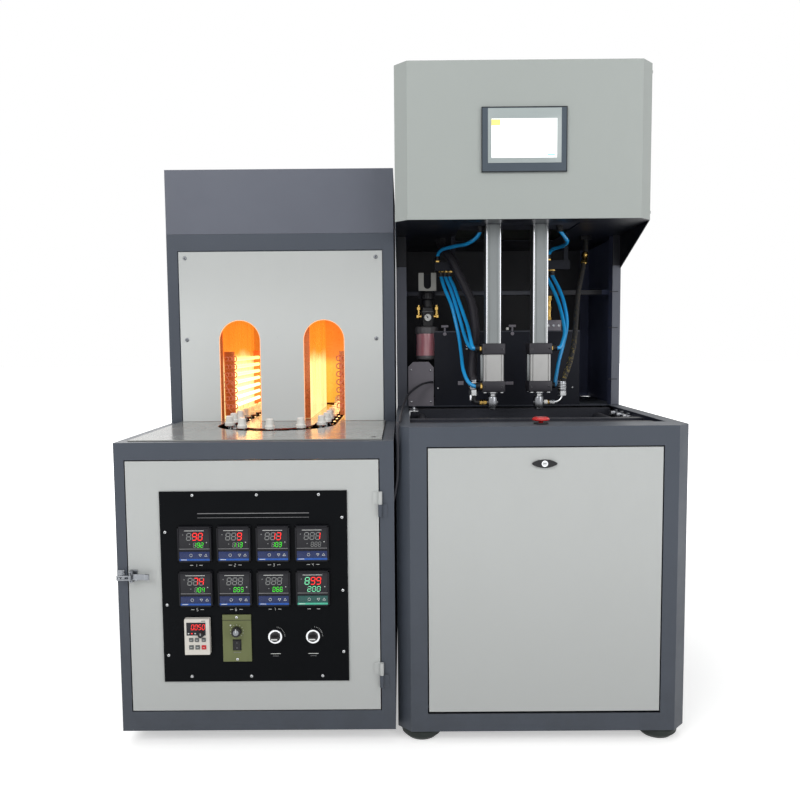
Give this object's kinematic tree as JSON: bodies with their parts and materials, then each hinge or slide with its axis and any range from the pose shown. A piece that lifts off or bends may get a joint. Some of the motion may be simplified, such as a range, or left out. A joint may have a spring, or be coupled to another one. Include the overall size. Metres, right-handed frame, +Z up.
{
  "type": "blow moulding machine",
  "caption": "Semi-automatic stretch blow moulding machine: a preform heater with a looping mandrel track and oven beside a blowing unit with clamp, stations and head",
  "frame": {"origin": "bottom centre of the bounding box, on the floor", "axes": "+Z up, the control panel and service door face -Y, the heater is on the -X side"},
  "size_m": [1.24, 1.149, 1.56],
  "materials": {
    "slate_paint": "textured powder coat",
    "pale_paint": "satin powder coat",
    "head_paint": "satin powder coat",
    "navy_paint": "dark satin paint",
    "machine_steel": "machined",
    "cast_paint": "painted casting",
    "polished_steel": "ground and polished",
    "profile_aluminium": "anodised",
    "mould_aluminium": "machined",
    "reflector": "bright sheet lit by the lamps",
    "quartz": "clear quartz, lit",
    "ceramic": "ceramic",
    "black_plastic": "moulded",
    "black_panel": "printed panel",
    "dark_plastic": "moulded",
    "white_plastic": "moulded",
    "olive_plastic": "moulded",
    "red_plastic": "moulded",
    "bowl_plastic": "tinted clear bowl",
    "blue_tube": "polyurethane tube",
    "black_rubber": "hose cover",
    "foot_rubber": "moulded",
    "grey_device": "moulded",
    "drive_paint": "enamel",
    "screen_plastic": "bezel"
  },
  "bodies": {
    "root": {"heater_cabinet": "slate_paint", "machine_feet": "foot_rubber", "heater_table": "pale_paint", "track_island": "pale_paint", "drive_frame": "machine_steel", "track_chain": "machine_steel", "mandrel_bases": "polished_steel", "mandrel_tips": "white_plastic", "gear_motor": "drive_paint", "electrical_plate": "grey_device", "oven_housing": "slate_paint", "oven_cap": "slate_paint", "oven_front_panel": "pale_paint", "oven_reflectors": "reflector", "lamp_holders": "ceramic", "heat_lamps": "quartz", "oven_fan_frame": "black_plastic", "latch_keeper": "polished_steel", "blower_cabinet": "slate_paint", "stop_base": "black_plastic", "clamp_bed": "cast_paint", "clamp_cylinders": "profile_aluminium", "column_frame": "slate_paint", "column_fittings": "navy_paint", "filter_regulator": "black_plastic", "filter_bowl": "bowl_plastic", "head_housing": "head_paint", "touch_panel": "screen_plastic", "station_cylinders": "profile_aluminium", "air_tubes": "blue_tube", "feed_hoses": "black_rubber"},
    "control_door": {"control_door": "pale_paint", "control_panel": "black_panel", "temperature_controllers": "dark_plastic", "keypad": "white_plastic", "speed_controller": "olive_plastic", "selector_bases": "polished_steel", "door_latch_base": "polished_steel"},
    "keypad_knob": {"keypad_knob": "black_plastic"},
    "speed_knob": {"speed_knob": "polished_steel"},
    "rocker_switch": {"rocker_switch": "black_plastic"},
    "selector_knob_left": {"selector_knob_left": "black_plastic"},
    "selector_knob_right": {"selector_knob_right": "black_plastic"},
    "latch_lever": {"latch_lever": "polished_steel"},
    "latch_bail": {"latch_bail": "polished_steel"},
    "rear_sprocket": {"rear_sprocket": "machine_steel"},
    "front_sprocket": {"front_sprocket": "machine_steel"},
    "oven_fan_impeller": {"oven_fan_impeller": "machine_steel"},
    "service_door": {"service_door": "pale_paint"},
    "lock_cam": {"lock_cam": "machine_steel"},
    "stop_button": {"stop_button": "red_plastic"},
    "front_clamp": {"front_platen": "cast_paint", "front_mould": "mould_aluminium"},
    "rear_clamp": {"rear_platen": "cast_paint", "rear_mould": "mould_aluminium"},
    "nozzle_left": {"nozzle_left": "polished_steel"},
    "nozzle_right": {"nozzle_right": "polished_steel"},
    "stretch_rod_left": {"stretch_rod_left": "polished_steel"},
    "stretch_rod_right": {"stretch_rod_right": "polished_steel"},
    "regulator_knob": {"regulator_knob": "black_plastic"}
  },
  "joints": [
    {"name": "control_door_hinge", "type": "hinge", "parent": "root", "child": "control_door", "pos_m": [-0.0495, -0.555, 0.36], "axis": [0, 0, 1], "range_deg": [0, 95]},
    {"name": "latch_lever_pivot", "type": "hinge", "parent": "control_door", "child": "latch_lever", "pos_m": [-0.586, -0.562, 0.383], "axis": [0, 0, -1], "range_deg": [0, 120]},
    {"name": "latch_bail_pivot", "type": "hinge", "parent": "latch_lever", "child": "latch_bail", "pos_m": [-0.586, -0.571, 0.383], "axis": [0, 0, 1], "range_deg": [0, 120]},
    {"name": "keypad_knob_turn", "type": "hinge", "parent": "control_door", "child": "keypad_knob", "pos_m": [-0.4378, -0.565, 0.2565], "axis": [0, 1, 0], "range_deg": [-135, 135]},
    {"name": "speed_knob_turn", "type": "hinge", "parent": "control_door", "child": "speed_knob", "pos_m": [-0.3628, -0.557, 0.2595], "axis": [0, 1, 0], "range_deg": [-135, 135]},
    {"name": "rocker_tip", "type": "hinge", "parent": "control_door", "child": "rocker_switch", "pos_m": [-0.3628, -0.557, 0.229], "axis": [1, 0, 0], "range_deg": [-7, 7]},
    {"name": "selector_left_turn", "type": "hinge", "parent": "control_door", "child": "selector_knob_left", "pos_m": [-0.28, -0.553, 0.2465], "axis": [0, 1, 0], "range_deg": [0, 90]},
    {"name": "selector_right_turn", "type": "hinge", "parent": "control_door", "child": "selector_knob_right", "pos_m": [-0.198, -0.553, 0.2465], "axis": [0, 1, 0], "range_deg": [0, 90]},
    {"name": "rear_sprocket_turn", "type": "hinge", "parent": "root", "child": "rear_sprocket", "pos_m": [-0.32, 0.3465, 0.644], "axis": [0, 0, 1], "continuous": true},
    {"name": "front_sprocket_turn", "type": "hinge", "parent": "root", "child": "front_sprocket", "pos_m": [-0.32, -0.225, 0.644], "axis": [0, 0, 1], "continuous": true},
    {"name": "oven_fan_spin", "type": "hinge", "parent": "root", "child": "oven_fan_impeller", "pos_m": [-0.32, 0.55, 1.2535], "axis": [0, 1, 0], "continuous": true},
    {"name": "service_door_tilt", "type": "hinge", "parent": "root", "child": "service_door", "pos_m": [0.3025, -0.54, 0.08], "axis": [1, 0, 0], "range_deg": [0, 90]},
    {"name": "lock_cam_turn", "type": "hinge", "parent": "service_door", "child": "lock_cam", "pos_m": [0.3025, -0.55, 0.62], "axis": [0, 1, 0], "range_deg": [0, 90]},
    {"name": "stop_button_push", "type": "slide", "parent": "root", "child": "stop_button", "axis": [0, 0, -1], "range_m": [0, 0.004]},
    {"name": "front_clamp_slide", "type": "slide", "parent": "root", "child": "front_clamp", "axis": [0, 1, 0], "range_m": [0, 0.06]},
    {"name": "rear_clamp_slide", "type": "slide", "parent": "root", "child": "rear_clamp", "axis": [0, -1, 0], "range_m": [0, 0.06]},
    {"name": "nozzle_left_slide", "type": "slide", "parent": "root", "child": "nozzle_left", "axis": [0, 0, -1], "range_m": [0, 0.05]},
    {"name": "nozzle_right_slide", "type": "slide", "parent": "root", "child": "nozzle_right", "axis": [0, 0, -1], "range_m": [0, 0.05]},
    {"name": "stretch_left_slide", "type": "slide", "parent": "root", "child": "stretch_rod_left", "axis": [0, 0, -1], "range_m": [0, 0.23]},
    {"name": "stretch_right_slide", "type": "slide", "parent": "root", "child": "stretch_rod_right", "axis": [0, 0, -1], "range_m": [0, 0.23]},
    {"name": "regulator_turn", "type": "hinge", "parent": "root", "child": "regulator_knob", "pos_m": [0.0745, 0.047, 1.006], "axis": [0, 0, 1], "range_deg": [-150, 150]}
  ],
  "couplings": [
    {"joint": "latch_bail_pivot", "follows": "latch_lever_pivot", "ratio": 1},
    {"joint": "front_sprocket_turn", "follows": "rear_sprocket_turn", "ratio": 1},
    {"joint": "rear_clamp_slide", "follows": "front_clamp_slide", "ratio": 1},
    {"joint": "nozzle_right_slide", "follows": "nozzle_left_slide", "ratio": 1},
    {"joint": "stretch_right_slide", "follows": "stretch_left_slide", "ratio": 1}
  ]
}
